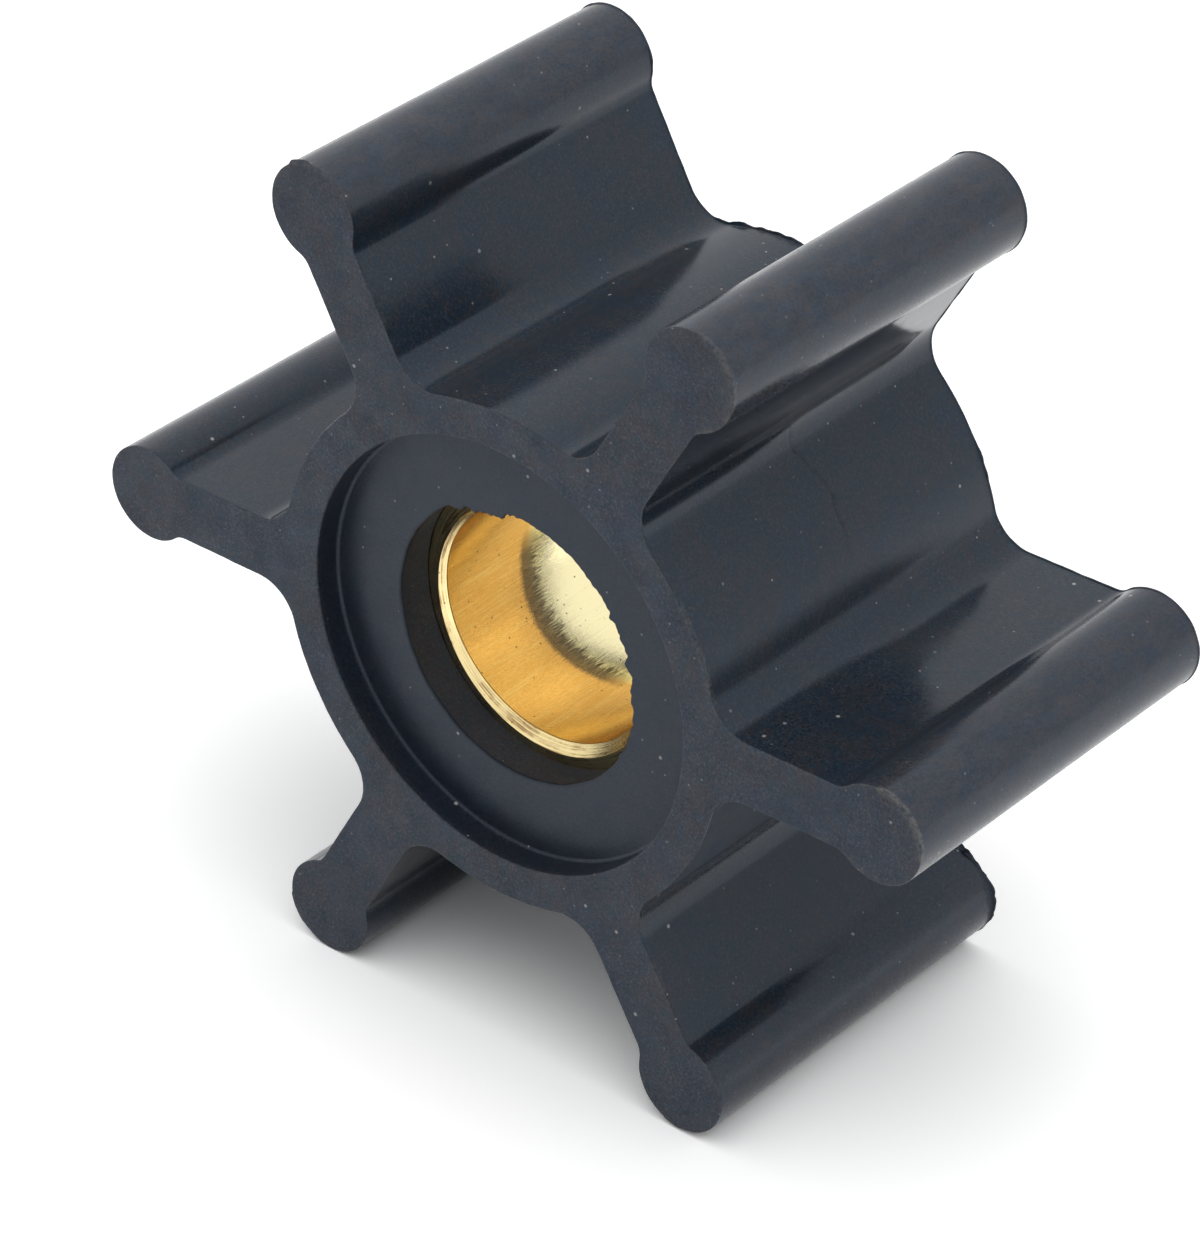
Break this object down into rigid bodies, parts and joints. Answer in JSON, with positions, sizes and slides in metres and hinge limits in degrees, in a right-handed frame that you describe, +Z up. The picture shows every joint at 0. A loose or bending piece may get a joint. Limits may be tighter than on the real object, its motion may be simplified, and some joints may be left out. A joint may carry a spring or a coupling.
{
  "type": "rubber pump impeller",
  "caption": "Flexible pump impeller: a moulded rubber hub with straight, round-tipped vanes, bonded on a plain brass bush that slides on the pump's shaft.",
  "frame": {"origin": "on the shaft's axis, halfway between the two faces", "axes": "+Y along the shaft from the front face, which has the deeper recess, to the back face; +X along one vane; +Z up, with the impeller standing on the tips of two vanes"},
  "size_m": [0.0508, 0.0216, 0.0446],
  "materials": {
    "rubber": "moulded dark grey-black rubber, matte and finely grained on the faces, smoother on the flanks",
    "brass": "turned brass, satin bore with fine scratches along it"
  },
  "bodies": {
    "root": {"rubber_impeller": "rubber", "brass_bush": "brass"}
  },
  "joints": []
}
